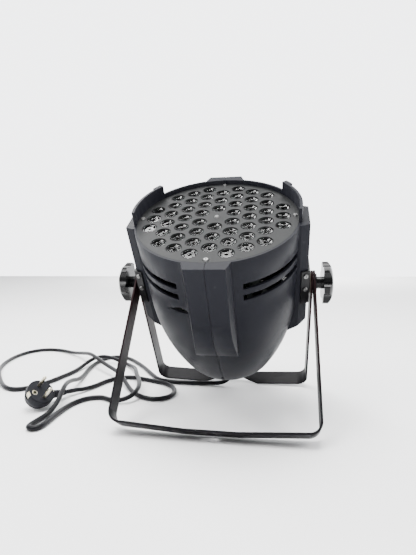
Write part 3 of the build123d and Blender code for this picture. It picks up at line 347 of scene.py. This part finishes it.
paintedNodes = {
    "castingPaint": ["housing_right", "housing_left"],
    "yokePaint": ["front_yoke", "rear_yoke"],
    "facePaint": ["face_plate", "rear_panel"],
    "lensAcrylic": ["lenses"],
    "mouldedBlack": ["lens_holders", "fan_frame", "fan_rotor", "dmx_in_pins", "dmx_out_insert",
                     "cable_gland", "gland_nut"],
    "boardGreen": ["led_board", "control_board", "power_supply"],
    "ledChip": ["led_emitters"],
    "blackAnodised": ["heat_sink", "tray"],
    "zincSteel": ["face_screws", "fan_screws", "panel_screws", "supply_posts", "stud_nuts", "stud_right",
                  "stud_left", "bracket_screws", "safety_eye"],
    "blackHardware": ["bracket_right", "bracket_left", "yoke_washer_right", "yoke_washer_left",
                      "clamp_washer_right", "clamp_washer_left", "dmx_in", "dmx_out"],
    "windowTint": ["display_window"],
    "buttonPlastic": ["display", "button_menu", "button_down", "button_up", "button_enter", "dmx_latch"],
    "knobPlastic": ["knob_right", "knob_left"],
    "leadRubber": ["strain_relief"],
    "plugRubber": ["plug_body", "plug_relief"],
    "pinMetal": ["plug_pins", "plug_earth"],
    "fibreDisc": ["friction_disc_right", "friction_disc_left"],
}
for finish, members in paintedNodes.items():
    for member in members:
        mesh = nodes[member].data
        mesh.materials.clear()
        mesh.materials.append(materials[finish])
leadCurve.materials.append(materials["leadRubber"])
print("finishes placed")

# softened edges, so that they catch the light
edgeSettings = {"mergeWithin": 0.00001, "segments": 2, "sharperThan": 0.52}
edgeWidths = {
    "housing_right": 0.0007, "housing_left": 0.0007, "front_yoke": 0.0005, "rear_yoke": 0.0005,
    "bracket_right": 0.0004, "bracket_left": 0.0004, "face_plate": 0.0003,
    "plug_body": 0.0008, "rear_panel": 0.0003, "cable_gland": 0.0004,
}
for name, width in edgeWidths.items():
    piece = nodes[name]
    weld = piece.modifiers.new("weld", "WELD")
    weld.merge_threshold = edgeSettings["mergeWithin"]
    bevel = piece.modifiers.new("softEdges", "BEVEL")
    bevel.width = width
    bevel.segments = edgeSettings["segments"]
    bevel.limit_method = "ANGLE"
    bevel.angle_limit = edgeSettings["sharperThan"]
    bevel.harden_normals = True
    bevel.use_clamp_overlap = True
print("edges softened")

# studio: a pale floor, a surround that is brighter behind, and soft lights
studio = {
    "floorSize": 6.0,
    "floorGap": 0.0004,
    "floorRoughness": 0.9,
    "floorColour": (0.9, 0.9, 0.9),
    "skyColour": (0.97, 0.98, 1.0),
    "frontStrength": 0.45,
    "backStrength": 4.6,
    "overheadShare": 0.12,
    "lights": [
        {"name": "keyLight", "at": (-0.9, -0.7, 1.6), "toward": (0, 0, 0.1), "size": 0.9, "power": 38},
        {"name": "fillLight", "at": (1.4, -0.4, 1.3), "toward": (0, 0, 0.1), "size": 0.9, "power": 24},
        {"name": "topLight", "at": (-0.1, 0.1, 2.3), "toward": (-0.1, 0.1, 0), "size": 1.4, "power": 120},
        {"name": "sheenLight", "at": (-0.75, 0.62, 1.4), "toward": (-0.05, -0.04, 0.26), "size": 0.45,
         "power": 9},
        {"name": "backdropLight", "at": (0, 3.0, 1.2), "toward": (0, 3.4, 0), "size": 1.8, "power": 110},
    ],
}
floorMesh = bpy.data.meshes.new("floor")
half = studio["floorSize"] / 2
floorCorners = [(-half, -half, 0), (half, -half, 0), (half, half, 0), (-half, half, 0)]
floorMesh.from_pydata(floorCorners, [], [(0, 1, 2, 3)])
floor = bpy.data.objects.new("floor", floorMesh)
floor.location.z = -studio["floorGap"]
scene.collection.objects.link(floor)
floorMaterial = bpy.data.materials.new("paleFloor")
floorMaterial.use_nodes = True
floorShader = floorMaterial.node_tree.nodes["Principled BSDF"]
floorShader.inputs["Base Color"].default_value = (*studio["floorColour"], 1)
floorShader.inputs["Roughness"].default_value = studio["floorRoughness"]
floorMesh.materials.append(floorMaterial)

world = bpy.data.worlds.new("surround")
world.use_nodes = True
sky = world.node_tree.nodes["Background"]
sky.inputs["Color"].default_value = (*studio["skyColour"], 1)
skyDirection = world.node_tree.nodes.new("ShaderNodeTexCoord")
skyAxes = world.node_tree.nodes.new("ShaderNodeSeparateXYZ")
world.node_tree.links.new(skyDirection.outputs["Generated"], skyAxes.inputs[0])
backLevel = rangeNode(world.node_tree, skyAxes.outputs["Y"], -0.1, 0.6, studio["frontStrength"],
                      studio["backStrength"])
overheadShare = rangeNode(world.node_tree, skyAxes.outputs["Z"], 0.55, 0.8, 1, studio["overheadShare"])
skyLevel = world.node_tree.nodes.new("ShaderNodeMath")
skyLevel.operation = "MULTIPLY"
world.node_tree.links.new(backLevel, skyLevel.inputs[0])
world.node_tree.links.new(overheadShare, skyLevel.inputs[1])
world.node_tree.links.new(skyLevel.outputs[0], sky.inputs["Strength"])
scene.world = world
for setting in studio["lights"]:
    lightData = bpy.data.lights.new(setting["name"], "AREA")
    lightData.size = setting["size"]
    lightData.energy = setting["power"]
    light = bpy.data.objects.new(setting["name"], lightData)
    light.location = setting["at"]
    aim = Vector(setting["toward"]) - Vector(setting["at"])
    light.rotation_euler = aim.to_track_quat("-Z", "Y").to_euler()
    scene.collection.objects.link(light)
print("studio lit")
